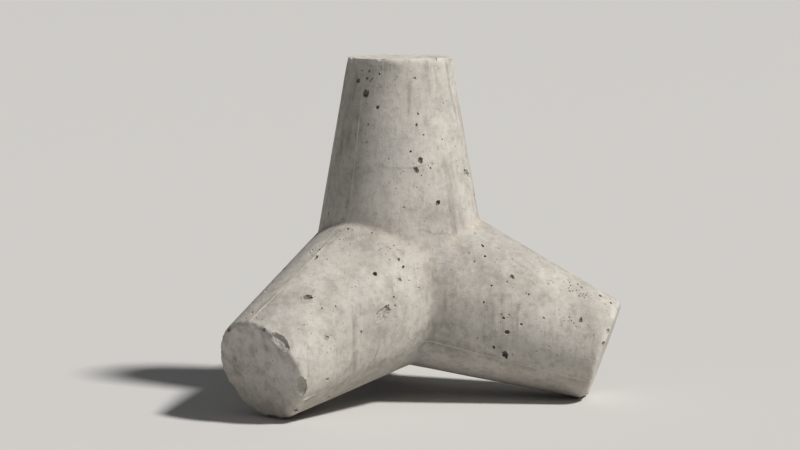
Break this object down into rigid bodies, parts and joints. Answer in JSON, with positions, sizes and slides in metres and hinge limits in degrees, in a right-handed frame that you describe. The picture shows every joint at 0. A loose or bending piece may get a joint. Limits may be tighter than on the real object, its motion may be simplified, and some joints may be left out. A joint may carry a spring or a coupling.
{
  "type": "concrete tetrapod",
  "caption": "Cast concrete block with tapered round legs spread evenly from its centre, which interlocks with others to shield a shore from waves.",
  "frame": {"origin": "the centre of the block, where the axes of its legs meet", "axes": "+Z along the upright leg, -Z down to the floor, and +Y over the lower leg at the back"},
  "size_m": [2.3416, 2.0969, 1.9258],
  "materials": {
    "concrete": "cast concrete, matte, warm grey, with blowholes, chipped rims and faint mould seams"
  },
  "bodies": {
    "root": {"tetrapod": "concrete"}
  },
  "joints": []
}
